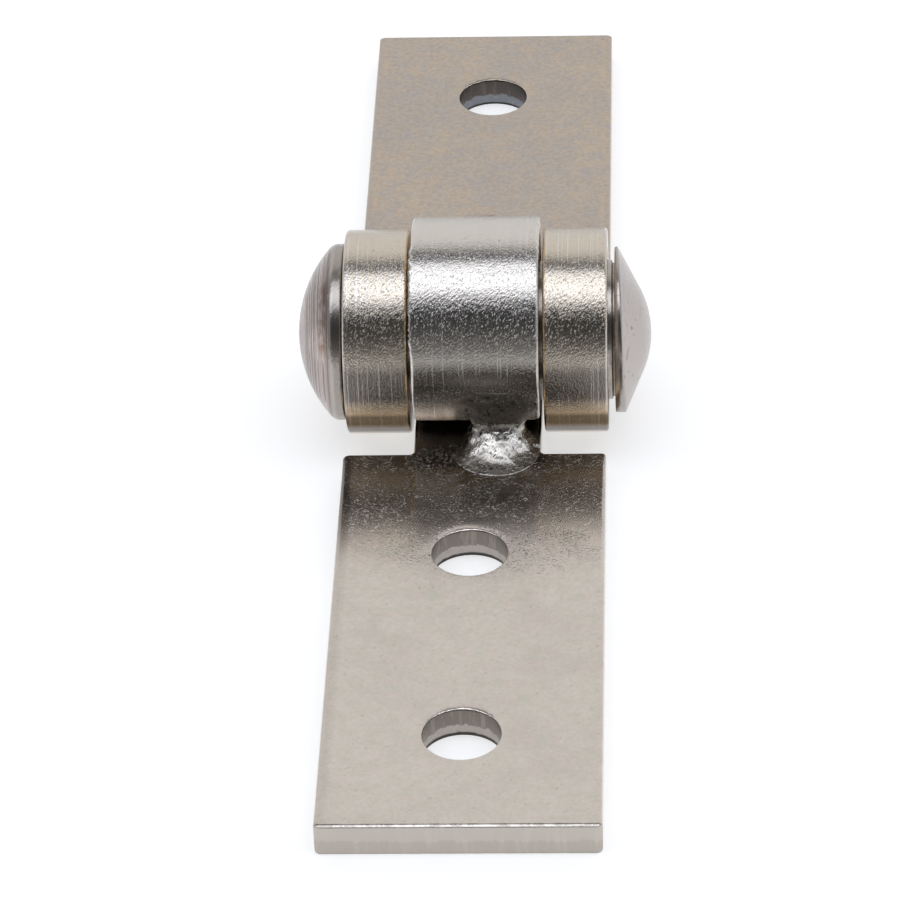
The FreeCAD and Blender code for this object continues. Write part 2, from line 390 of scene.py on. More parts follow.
def line_group() -> bpy.types.NodeTree:
    """Lines drawn round a turned or rolled surface: noise across them, broken up along them."""
    graph, taken, given = new_group(
        "drawn_lines", [("Across", "Float", 0.0), ("Vector", "Vector", None),
                        ("Lines", "Float", 2000.0), ("Share", "Float", 0.6)], ["Height", "Mask"])
    line = graph.get("TexNoise", "Fac", {"noise_dimensions": "1D"}, W=taken["Across"],
                     Scale=taken["Lines"], Detail=2.0, Roughness=0.7)
    broken = graph.noise(taken["Vector"], 120.0, 1.0).ramp(0.42, 0.56)
    mark = graph.get("MapRange", i0=line, i1=taken["Share"], i2=taken["Share"] + 0.06)
    mask = mark * broken
    graph.fill(given.inputs["Mask"], mask)
    graph.fill(given.inputs["Height"], mask * -0.6 + line)
    return graph.tree


STAINS, GRAIN, LINES = stain_group(), grain_group(), line_group()


def open_material(name: str) -> tuple[bpy.types.Material, Graph, Value, list[Value]]:
    """A new metal material, its graph, the place on the object, and that place's three axes."""
    material = bpy.data.materials.new(name)
    material.use_nodes = True
    graph = Graph(material.node_tree)
    graph.shade(Metallic=1.0)
    place = graph.get("TexCoord", "Object")
    axes = graph.add("SeparateXYZ", Vector=place)
    return material, graph, place, [Value(graph, socket, MM) for socket in axes.outputs]


# Colours of dirt and wear, and of painted shade and reflections, which lie over the plating's own
GRIT: Colour = (0.33, 0.28, 0.24)
GILT: Colour = (0.66, 0.49, 0.33)
# Painted dark reflection on the rolls' front and on the weld
PAINTED_DARK_REFLECTION: Colour = (0.22, 0.195, 0.17)
# Painted dark reflection of the knuckle on the bar beside it
PAINTED_KNUCKLE_REFLECTION: Colour = (0.10, 0.085, 0.07)
SIDE_SHADE: Colour = (0.16, 0.135, 0.12)
# Painted warm reflection of the gap between the eyes, seen in the bar
PAINTED_GAP_REFLECTION: Colour = (0.80, 0.62, 0.43)
# Painted shade on the tongue right under the eye
PAINTED_CREVICE_SHADE: Colour = (0.010, 0.008, 0.007)
NICKED: Colour = (0.24, 0.215, 0.19)
PITTED: Colour = (0.24, 0.20, 0.16)
SCORED: Colour = (0.80, 0.82, 0.84)
# Painted shade: an edge tint that dims grazing reflections low on the rolls
LOW_EDGE_SHADE: Colour = (0.30, 0.25, 0.20)
SMEARED: Colour = (0.62, 0.57, 0.52)
# Painted contact shadow at the foot of cut faces
PAINTED_FOOT_SHADOW: Colour = (0.03, 0.027, 0.025)
TOOLED: Colour = (0.21, 0.175, 0.16)
TURNED: Colour = (0.17, 0.135, 0.12)
RIVET_PITS: Colour = (0.20, 0.17, 0.16)
DOTS: Colour = (0.10, 0.09, 0.09)
WELD_HOLES: Colour = (0.12, 0.105, 0.10)


@dataclass(frozen=True)
class Nickel:
    """Nickel plating of a leaf: its colours, stains, fine grain and drawn lines.

    Attributes:
        name: The material's name.
        base: The plating's colour on the bar.
        stain: The colour of its wide stains.
        mottle: The colour of its small mottling.
        eye: The colour on the rolled eyes.
        low_eye: The darker, warmer colour low on the rolls, a painted reflection of the shaded floor.
        under: The painted shade right under the rolls' front.
        tint: The colour of heat stains beside the weld.
        weld_at: Where the heat stains are centred, in millimetres.
        rim: The painted highlight on the eye rims beside the gaps.
        rim_at: How far those rims are from the middle.
        scored_from: How far from the middle the lines drawn round the eyes lie closer.
        flat_roughness: Roughness on the bar.
        eye_roughness: Roughness on the rolls.
        stain_share: How strong the stains are.
        grain_depth: Height of the grain on the rolls, in micrometres.
        flat_depth: Height of the grain on the bar, in micrometres.
        calm_below: Height in millimetres under which the rolls are drawn smoother.
        crown: Height in millimetres over which they are drawn smoother too.
        belt: Lowest and highest height of the painted dark reflection in a belt on the rolls' front.
        belt_share: How strong that painted dark reflection is.
        gilt: How strong the golden lines along the bar's sides are.
        grit: How strong the fine brown grit is.
    """

    name: str
    base: Colour
    stain: Colour
    mottle: Colour
    eye: Colour
    low_eye: Colour
    under: Colour
    tint: Colour
    weld_at: tuple[float, float, float]
    rim: Colour = (0.72, 0.68, 0.63)
    rim_at: float = 7.2
    scored_from: float = 5.6
    flat_roughness: float = 0.19
    eye_roughness: float = 0.115
    stain_share: float = 0.75
    grain_depth: float = 70.0
    flat_depth: float = 2.2
    calm_below: float = 17.5
    crown: float = 23.5
    belt: tuple[float, float] = (12.8, 16.0)
    belt_share: float = 0.62
    gilt: float = 0.0
    grit: float = 0.12

    def material(self) -> bpy.types.Material:
        """The material, with the eyes told from the bar by their height."""
        material, graph, place, (x, y, height) = open_material(self.name)
        aside, aback = abs(x), abs(y)
        raised = height.ramp(4.3, 6.0)
        nook = height.ramp(3.4, 3.7) * (1.0 - raised)
        facing, low = y.ramp(-5, -9), height.ramp(12, 7)
        weld_at = tuple(v * MM for v in self.weld_at)
        away = graph.get("VectorMath", "Value", {"operation": "DISTANCE"}, MM, i0=place, i1=weld_at)
        grain = graph.group(GRAIN, Vector=place, Grains=6600.0)
        lines = graph.group(LINES, Across=x, Vector=place, Lines=2600.0, Share=0.6)

        # The bar: stains, grit, golden lines along its sides and heat spots by the weld
        stains = graph.group(STAINS, Vector=place, Grains=110.0, Cover=0.52, Softness=0.16)["Mask"]
        mottle = graph.group(STAINS, Vector=place, Grains=560.0, Cover=0.55, Softness=0.2)["Mask"]
        spots = graph.group(STAINS, Vector=place, Grains=520.0, Cover=0.5, Softness=0.1)["Mask"]
        grit = graph.noise(place, 1900.0, 3.0, 0.7).ramp(0.36, 0.64, 0.0, self.grit)
        gilt = abs(aside - 13.9).ramp(0.6, 0.0) * graph.noise(place, 180.0).ramp(
            0.4, 0.62, 0.0, self.gilt)
        bar = graph.blend(stains * self.stain_share, self.base, self.stain)
        bar = bar.coat(mottle * self.stain_share, self.mottle).coat(grit, GRIT).coat(gilt, GILT)
        bar = bar.coat(nook * away.ramp(13, 4) * spots, self.tint)

        # The rolls: a painted darker, warmer reflection low down, a painted dark reflection in a belt on
        # their front, and painted shade right under it
        belt = height.ramp(self.belt[0] - 1.5, self.belt[0])
        belt = belt * height.ramp(self.belt[1] + 1.0, self.belt[1] - 1.0) * facing
        rolled = graph.blend(low, self.eye, self.low_eye).coat(belt * self.belt_share, PAINTED_DARK_REFLECTION)
        rolled = rolled.coat(height.ramp(8.2, 7.2) * facing * 0.85, self.under)

        # Both: painted shade and reflections near the knuckle, then nicks, pits, lines and painted highlights
        # on the rims
        side = x.ramp(-13.6, -14.6) * aback.ramp(36, 22, 0.12, 0.8) * y.ramp(-11, -13)
        # Painted warm reflection of the gap between the left and middle eyes, in line with it on the bar
        streak = abs(x + 7.0).ramp(0.45, 0.15) * aback.ramp(27, 19) * nook
        streak = streak * graph.noise(place, 400.0).ramp(0.35, 0.6, 0.1, 0.65)
        nicked = graph.noise(place, 1000.0, 2.0, 0.7).ramp(0.40, 0.60, 0.0, 0.6)
        scored = aside.ramp(self.scored_from, self.scored_from + 0.8, 0.4, 1.0)
        # Painted highlight on the eye rims beside the gaps, broken up by noise
        rim = abs(aside - self.rim_at).ramp(0.42, 0.2) * raised * graph.noise(place, 260.0).ramp(0.3, 0.6)
        # Painted dark reflection of the knuckle on the bar beside it
        colour = bar.coat(raised, rolled).coat(nook * aback.ramp(32, 20, 0.0, 0.22), PAINTED_KNUCKLE_REFLECTION)
        colour = colour.coat(side, SIDE_SHADE).coat(streak, PAINTED_GAP_REFLECTION)
        # Painted shade on the tongue right under the eye, nearly black
        colour = colour.coat(nook * aback.ramp(10.9, 8.2, 0.0, 0.76), PAINTED_CREVICE_SHADE)
        colour = colour.coat(aback.ramp(77.85, 78.0) * nicked, NICKED).coat(grain["Pits"] * 0.3, PITTED)
        colour = colour.coat(lines["Mask"] * raised * scored * height.ramp(7, 11, 0.15, 0.45), SCORED)

        # Relief: grain, lines, soft warping, weld spatter, and the bar's long bow
        calm = height.ramp(self.calm_below - 1.5, self.calm_below + 1.5).span(0.35, 1.0)
        calm = calm * height.ramp(self.crown, self.crown + 0.8, 1.0, 0.45)
        depth = (raised * calm).span(self.flat_depth * MICRON, self.grain_depth * MICRON)
        spatter = graph.noise(place, 3600.0, 1.0).ramp(0.57, 0.66) * nook
        spatter = spatter * graph.noise(place, 330.0, 2.0, 0.6).ramp(0.36, 0.62) * away.ramp(24, 15)
        bow = (x * -45.0 + 1.0) * aback.ramp(14, 38)
        normal = graph.bump(grain["Height"], depth)
        normal = graph.bump(lines["Height"], raised.span(1.5 * MICRON, 16 * MICRON), normal)
        normal = graph.bump(graph.noise(place, 45.0, 1.0), 70 * MICRON, normal)
        normal = graph.bump(spatter, 130 * MICRON, normal)
        rough = raised.span(self.flat_roughness, self.eye_roughness)
        # Painted shade: the edge tint dims grazing reflections low on the rolls
        graph.shade(Base_Color=colour.coat(rim, self.rim), Roughness=stains * 0.04 + rough,
                    Specular_Tint=graph.blend(low * raised, WHITE, LOW_EDGE_SHADE),
                    Normal=graph.bump(bow, 380 * MICRON, normal))
        return material


@dataclass(frozen=True)
class ShearedSteel:
    """Sheared and torn faces: the free ends, the shoulders and the walls of the holes.

    Attributes:
        name: The material's name.
        base: The colour of the sheared upper part.
        torn: The colour of the torn lower part.
        torn_below: Height in millimetres under which the face is torn.
        foot: Height in millimetres under which a painted contact shadow makes it nearly black.
        smear: How strong the pale smears are.
    """

    name: str
    base: Colour
    torn: Colour
    torn_below: float = 1.8
    foot: float = -1.0
    smear: float = 0.6

    def material(self) -> bpy.types.Material:
        """The material, with upright tear marks that deepen towards the underside."""
        material, graph, place, (_, _, height) = open_material(self.name)
        drawn = graph.get("Mapping", "Vector", Vector=place, Scale=(1.0, 1.0, 0.12))
        tears = graph.noise(drawn, 1500.0, 3.0, 0.6)
        low = (height + tears * (1.4 * MM)).ramp(self.torn_below + 0.55, self.torn_below + 0.35)
        # Painted contact shadow along the foot of the face
        foot = height.ramp(self.foot + 0.15, self.foot - 0.1)
        colour = graph.blend(low, self.base, self.torn)
        colour = colour.coat(tears.ramp(0.50, 0.66, 0.0, self.smear), SMEARED).coat(foot * 0.9, PAINTED_FOOT_SHADOW)
        relief = tears + graph.noise(place, 5200.0) * 0.7
        graph.shade(Base_Color=colour, Roughness=low.ramp(0.0, 1.0, 0.4, 0.5),
                    Normal=graph.bump(relief, 35 * MICRON))
        return material


@dataclass(frozen=True)
class RivetSteel:
    """The rivet pin's plating: turning marks on the left head, a pitted skin on the right one.

    Attributes:
        name: The material's name.
        base: The colour of the pressed head.
        left_base: The colour of the turned dome.
        rim: The colour of the shank and the turned head's rim.
        streak: The colour of the worn arc on the dome.
        axis_height: Height of the pin's axis, in millimetres.
    """

    name: str
    base: Colour
    left_base: Colour
    rim: Colour
    streak: Colour
    axis_height: float

    def material(self) -> bpy.types.Material:
        """The material, with its marks in rings about the pin's axis."""
        material, graph, place, (x, y, height) = open_material(self.name)
        up = height - self.axis_height
        reach = graph.math("SQRT", graph.math("POWER", up, 2.0) + graph.math("POWER", y, 2.0), unit=MM)
        left, right = x.ramp(-14.0, -15.5), x.ramp(15.5, 16.5)
        rings = graph.group(LINES, Across=reach, Vector=place, Lines=2300.0, Share=0.58)
        grain = graph.group(GRAIN, Vector=place, Grains=2600.0)
        worn = reach.ramp(8.2, 8.9) * reach.ramp(9.9, 9.5) * y.ramp(-2.5, -4.0) * up.ramp(2.0, 4.5)
        worn = worn * left * graph.noise(place, 420.0).ramp(0.36, 0.6)
        dots = graph.noise(place, 1500.0, 0.0).ramp(0.76, 0.80, 0.0, 0.5)
        colour = graph.blend(left * reach.ramp(9.95, 9.7), self.rim, self.left_base)
        colour = colour.coat(right, self.base).coat(worn, self.streak)
        colour = colour.coat(rings["Height"].ramp(0.36, 0.62, 0.85, 0.0) * left, TOOLED)
        colour = colour.coat(rings["Mask"] * left * 0.75, TURNED)
        colour = colour.coat(grain["Pits"] * 0.45, RIVET_PITS).coat(dots * right, DOTS)
        relief = grain["Height"] + rings["Height"] * (left * 3.6)
        graph.shade(Base_Color=colour, Roughness=0.27, Normal=graph.bump(relief, 30 * MICRON))
        return material


@dataclass(frozen=True)
class WeldSteel:
    """Plated weld metal: glossy and lumpy, with painted dark reflections where it meets the bar and on its
    flare.

    Attributes:
        name: The material's name.
        base: Its own colour.
        dark: The colour of its stains.
    """

    name: str
    base: Colour
    dark: Colour

    def material(self) -> bpy.types.Material:
        """The material, with painted dark reflections on its toe and on its flare on the curl."""
        material, graph, place, (_, _, height) = open_material(self.name)
        stains = graph.group(STAINS, Vector=place, Grains=420.0, Cover=0.5, Softness=0.2)["Mask"]
        grain = graph.group(GRAIN, Vector=place, Grains=4600.0)
        # Painted dark reflections on the toe and on the flare
        weld_dark_reflection = graph.math("MAXIMUM", height.ramp(6.4, 7.6, 0.0, 0.6), height.ramp(5.0, 4.3, 0.0, 0.6))
        colour = graph.blend(stains * 0.5, self.base, self.dark).coat(weld_dark_reflection, PAINTED_DARK_REFLECTION)
        holes = graph.noise(place, 1500.0).ramp(0.58, 0.66, 0.0, 0.8)
        graph.shade(Base_Color=colour.coat(holes, WELD_HOLES), Roughness=stains.ramp(0.0, 1.0, 0.2, 0.3),
                    Normal=graph.bump(grain["Height"], 62 * MICRON))
        return material


# The two leaves


class Edge(Enum):
    """How an edge is eased: run and drop above, run and drop below, and share of bevel above."""

    END = (0.42, 0.2, 0.18, 0.18, 0.6)
    SIDE = (0.44, 0.44, 0.44, 0.44, 0.0)
    ROLL = (0.34, 0.34, 0.34, 0.34, 0.0)
    SHARP = (0.18, 0.18, 0.18, 0.18, 0.0)


def eased(share: float, bevel: object) -> tuple[object, object]:
    """How far along its run and its drop an edge still is, between a quarter round and a bevel."""
    angle = math.pi / 2 * share
    return ((1 - bevel) * (1 - math.sin(angle)) + bevel * (1 - share),
            (1 - bevel) * (1 - math.cos(angle)) + bevel * share)


@dataclass
class RimRun:
    """A stretch of a leaf's outline in plan, ruled to a line inside the leaf.

    Attributes:
        inside: Places on the inner line, as (across, along).
        outline: As many places on the outline.
        edge: How its edges are eased.
        finish: The finish number of its wall.
    """

    inside: np.ndarray
    outline: np.ndarray
    edge: Edge
    finish: int = 0


def mirrored(runs: Sequence[RimRun]) -> list[RimRun]:
    """Runs drawn for the right side, turned over to the left and walked the other way.

    Each run's places stop just short of the next run's first place, so the whole chain is joined,
    reversed and cut again at the same steps, one place later.
    """
    flip = np.array([-1.0, 1.0])
    inside = np.concatenate([r.inside for r in runs])[::-1] * flip
    outline = np.concatenate([r.outline for r in runs])[::-1] * flip
    ends = np.cumsum([len(r.inside) for r in runs[::-1]])[:-1]
    return [RimRun(a, b, r.edge, r.finish)
            for a, b, r in zip(np.split(inside, ends), np.split(outline, ends), runs[::-1])]


@dataclass
class Leaf:
    """A flat bar rolled into one eye or two, as a plate in bar coordinates that is then bent.

    Bar coordinates are (across, along, depth): along runs from the free end, over the point under
    the pin's axis at 0, and on round the outside of the roll; depth is 0 on the underside, which
    becomes the roll's outside, and 1 on the upper face.

    Attributes:
        outer: Outer radius of the roll.
        reach: From the pin's axis to the free end.
        half: Half the bar's width.
        hole_reaches: From the pin's axis to each hole.
        hole_radius: Radius of the holes.
        thickness: The flat bar's thickness.
        wall: The roll's thickness.
        end_corner: Corner radius of the free end, in plan.
        shoulder: From the pin's axis to the notched shoulders.
        notch_corner: Corner radius in the notches.
        lip_corner: Corner radius at the end of the curl.
        curl_end: How far the curl runs past the front of the axis, in degrees.
        hole_land: Depth of a hole's sheared land.
        hole_breakout: How much wider a hole is at the underside.
        hole_sink: How deep the face is dragged down at a hole's rim.
        hole_round: Smallest radius of a hole's rim.
        askew: 1 where the punch dragged the far side of the rims in, -1 where the near one.
        roll_step: Length of one quad along the roll.
        cell: Half the length of the cell that each hole is cut from.
        seed: Picks the wandering of the holes and burrs.
    """

    outer: float
    reach: float
    half: float
    hole_reaches: tuple[float, ...]
    hole_radius: float
    thickness: float = 3.8
    wall: float = 3.65
    end_corner: float = 0.7
    shoulder: float = 13.2
    notch_corner: float = 0.6
    lip_corner: float = 0.9
    curl_end: float = 26.0
    hole_land: float = 2.4
    hole_breakout: float = 0.2
    hole_sink: float = 0.07
    hole_round: float = 0.04
    askew: float = 1.0
    roll_step: float = 0.32
    cell: float = 7.0
    seed: int = 1

    @property
    def bore(self) -> float:
        """Inner radius of the roll."""
        return self.outer - self.wall

    @property
    def lip(self) -> float:
        """The place along the bar where the curl stops."""
        return self.outer * math.radians(270 + self.curl_end)

    def bent(self, across: np.ndarray, along: np.ndarray, depth: np.ndarray) -> np.ndarray:
        """Bend bar coordinates into space.

        The underside runs flat to 0 and then round a circle of the outer radius; the upper face
        runs flat to the crotch, where it runs out into the bore, and then round the bore. A place
        between them divides the straight line from one to the other by its depth.

        Args:
            across: Places across the bar.
            along: Places along it.
            depth: Share of the thickness above the underside.

        Returns:
            Points in millimetres, for a leaf that lies towards -Y.
        """
        crotch = math.sqrt(self.bore ** 2 - (self.outer - self.thickness) ** 2)
        turn = np.maximum(along, 0) / self.outer - np.pi / 2
        flat = along < 0
        low_y = np.where(flat, along, self.outer * np.cos(turn))
        low_z = np.where(flat, 0.0, self.outer * (1 + np.sin(turn)))
        high_y = np.where(flat, along, self.bore * np.cos(turn))
        run_out = self.outer - np.sqrt(self.bore ** 2 - np.clip(along, -crotch, 0) ** 2)
        high_z = np.where(flat, np.where(along < -crotch, self.thickness, run_out),
                          self.outer + self.bore * np.sin(turn))
        y = low_y + (high_y - low_y) * depth
        z = low_z + (high_z - low_z) * depth
        return np.stack([across + 0 * y, y, z], axis=-1)

    def inner_grid(self) -> tuple[np.ndarray, np.ndarray]:
        """Places across and along of the grid inside the rim."""
        raise NotImplementedError

    def rim(self) -> list[RimRun]:
        """The outline, counterclockwise seen from above, in runs."""
        raise NotImplementedError

    def bar_rows(self, last: float) -> np.ndarray:
        """Places along the flat bar, with rows at both borders of each hole's cell."""
        stops = [-self.reach + 1.2]
        for reach in sorted(self.hole_reaches, reverse=True):
            stops += [-reach - self.cell, -reach + self.cell]
        pieces = [np.linspace(a, b, max(2, round(b - a)), endpoint=False)
                  for a, b in zip(stops, stops[1:] + [last])]
        return np.concatenate(pieces)

    def heel(self) -> RimRun:
        """The middle of the free end."""
        across, along = self.inner_grid()
        return RimRun(pairs(across[:-1], along[0]), pairs(across[:-1], -self.reach), Edge.END, 1)

    def end_runs(self, inner: float, start: float, steps: int) -> list[RimRun]:
        """The free end from above the inner place to the side, and its corner."""
        cut = self.half - self.end_corner
        corner = bend_round((cut, -self.reach + self.end_corner), self.end_corner, -90, 0, 6)
        return [RimRun(fixed(inner, start, steps),
                       straight((inner, -self.reach), (cut, -self.reach), steps), Edge.END, 1),
                RimRun(fixed(inner, start, 6), corner, Edge.END, 1)]

    def long_run(self, inner: float, rows: np.ndarray, last: float, across: float,
                 low: float, high: float, edge: Edge) -> RimRun:
        """A straight stretch along the bar.

        Args:
            inner: Place across of the inner line.
            rows: Places along of the inner line.
            last: Where the next run's rows start.
            across: Place across of the outline.
            low: Where the outline's stretch starts.
            high: Where the next run's outline starts.
            edge: How its edges are eased.

        Returns:
            The run, with the outline's places spread like the rows.
        """
        share = (rows - rows[0]) / (last - rows[0])
        return RimRun(pairs(inner, rows), pairs(across, low + (high - low) * share), edge)

    def rim_patches(self) -> list[Patch]:
        """The skin between the inner grid and itself, over the edge and back underneath.

        Row by row it goes out along the upper face, round an elliptical upper edge, down the
        wall, round the lower edge and back in along the underside.
        """
        runs = self.rim()
        counts = [len(r.outline) for r in runs]
        inside = np.concatenate([r.inside for r in runs])
        outline = np.concatenate([r.outline for r in runs])
        ease = np.repeat([r.edge.value for r in runs], counts, axis=0)
        ease = sum(np.roll(ease, k, axis=0) for k in (-1, 0, 1)) / 3
        finish = np.repeat([r.finish for r in runs], counts)
        ahead = np.roll(outline, -1, axis=0) - np.roll(outline, 1, axis=0)
        normal = np.stack([ahead[:, 1], -ahead[:, 0]], axis=-1)
        normal /= np.linalg.norm(normal, axis=1, keepdims=True)
        support, steps = 0.03, 6
        shares = (0, 0.35, 0.7, 0.9, 1.0)

        def face(run: np.ndarray, drop: np.ndarray, bevel: np.ndarray) -> tuple[list, list]:
            """Rows from the inner line to the wall, and how far each has sunk from its face."""
            foot = outline - (run + support)[:, None] * normal
            rows = [inside + (foot - inside) * share for share in shares]
            sunk = [0 * drop] * len(shares)
            for step in range(steps + 1):
                inwards, down = eased(step / steps, bevel)
                rows.append(outline - (run * inwards)[:, None] * normal)
                sunk.append(drop * down / self.thickness)
            return rows + [outline], sunk + [(drop + support) / self.thickness]

        above, sunk_above = face(ease[:, 0], ease[:, 1], ease[:, 4])
        below, sunk_below = face(ease[:, 2], ease[:, 3], 0 * ease[:, 4])
        middle = (1 - sunk_above[-1] + sunk_below[-1]) / 2
        plan = np.array(above + [outline] + below[::-1])
        depth = np.array([1 - s for s in sunk_above] + [middle] + sunk_below[::-1])
        points = self.bent(plan[..., 0], plan[..., 1], depth)
        points = np.concatenate([points, points[:, :1]], axis=1)
        edge = len(shares) + steps + 1
        bounds = [0, *(np.flatnonzero(np.diff(finish)) + 1).tolist(), len(finish)]
        patches = []
        for start, end in zip(bounds, bounds[1:]):
            strip = points[:, start:end + 1]
            patches += [Patch(strip[:edge - 2]),
                        Patch(strip[edge - 3:len(plan) - edge + 3], finish=int(finish[start])),
                        Patch(strip[len(plan) - edge + 2:])]
        return patches

    def hole_rings(self, beyond: np.ndarray, far: np.ndarray) -> np.ndarray:
        """Distances from a hole's middle: close rings by the rim, then shares of the way out.

        Args:
            beyond: How far the first ring lies outside the hole's own radius, for each ray.
            far: The distance of the cell's border, for each ray.

        Returns:
            One row for each ring.
        """
        near = (0.0, 0.04, 0.1, 0.18, 0.28, 0.42, 0.65, 0.95)
        rings = [self.hole_radius + beyond + step for step in near]
        return np.array(rings + [rings[-1] + (far - rings[-1]) * share for share in (0.3, 0.6, 1.0)])

    def hole_patches(self, box: np.ndarray, reach: float, number: int) -> list[Patch]:
        """One punched hole: sunk rim above, land, torn break-out and the flat below.

        The rays run from the hole's circle to the borders of its cell. The upper face sinks
        towards the rim by an exponential fall, more on the side that the punch dragged in, where
        the rim is bevelled too. The tear line and break-out wander with the angle.

        Args:
            box: Places of the cell's border, as a closed loop of (across, along).
            reach: The hole's distance from the pin's axis.
            number: Which hole it is, for its own wandering.

        Returns:
            The patches.
        """
        ray = box + (0.0, reach)
        far = np.linalg.norm(ray, axis=1)
        ray = ray / far[:, None]

        def wander(stretch: float, layer: float, size: float, seed: int) -> np.ndarray:
            """Unevenness that goes round the hole."""
            places = np.concatenate([ray * stretch, 0 * ray[:, :1] + layer], axis=1)
            return waves(places, size, self.seed + seed)

        def spread(radius: np.ndarray, depth: np.ndarray) -> np.ndarray:
            """Points at distances from the hole's middle, along the rays."""
            return self.bent(ray[:, 0] * radius, ray[:, 1] * radius - reach, depth)

        dragged = np.clip(0.15 + self.askew * (0.9 * ray[:, 1] - 0.4 * ray[:, 0]), 0, 1)
        dragged = dragged * np.clip(0.75 + 0.7 * wander(7, number, 0.7, 2), 0.1, 1)
        run, drop = self.hole_round * (1 + 3.9 * dragged), self.hole_round * (1 + 1.5 * dragged)
        radius = self.hole_rings(run, far)
        under = self.hole_rings(self.hole_breakout + 0 * far, far)
        fall = np.exp(-(radius - radius[0]) / 0.26)
        fall[-1] = 0
        leaning = 0.2 + 0.8 * np.clip(0.4 + self.askew * ray[:, 1], 0, 1)
        sink = self.hole_sink * (1 + 0.35 * wander(3, number, 2.2, 0)) * fall * leaning
        tear = self.thickness - self.hole_land + 0.35 * wander(3, number + 9, 1.7, 3)
        rows = []
        for share in np.linspace(0, 1, 5):
            inwards, down = eased(share, 0.8 * dragged)
            rows.append((run * inwards, self.thickness - sink[0] - drop * down))
        rim = rows[-1][1]
        rows += [(0 * rim, rim + (tear - rim) * share) for share in np.linspace(0.1, 1, 6)]
        for share in np.linspace(0, 1, 8)[1:]:
            rough = 0.05 * wander(6, share * 2, 1.1, 5 + number)
            flare = self.hole_breakout * (0.35 + share * 0.65) + rough * math.sin(math.pi * share)
            rows.append((np.clip(flare, 0.0, None), tear * (1 - share)))
        beyond, height = np.array(rows).transpose(1, 0, 2)
        beyond[-1] = self.hole_breakout
        wall = spread(self.hole_radius + beyond, height / self.thickness)
        return [Patch(spread(radius, 1 - sink / self.thickness), True), Patch(wall[:5], True),
                Patch(wall[4:], True, 2), Patch(spread(under, 0 * under)[::-1], True)]

    def patches(self) -> list[Patch]:
        """The whole skin of the leaf: its rim, its holes' cells, and the faces between them."""
        across, along = self.inner_grid()
        skin = self.rim_patches()
        free = np.ones(len(along) - 1, dtype=bool)
        for number, reach in enumerate(self.hole_reaches):
            first, last = (int(np.argmin(np.abs(along + reach + way * self.cell))) for way in (1, -1))
            free[first:last] = False
            box = (pairs(across[:-1], along[first]), pairs(across[-1], along[first:last]),
                   pairs(across[:0:-1], along[last]), pairs(across[0], along[last:first:-1]))
            skin += self.hole_patches(np.concatenate(box), reach, number)
        edges = np.flatnonzero(np.diff(np.concatenate([[False], free, [False]]).astype(int)))
        for first, last in zip(edges[::2], edges[1::2]):
            plan = np.meshgrid(across, along[first:last + 1])
            skin += [Patch(self.bent(*plan, depth + 0 * plan[0])) for depth in (0.0, 1.0)]
        return skin


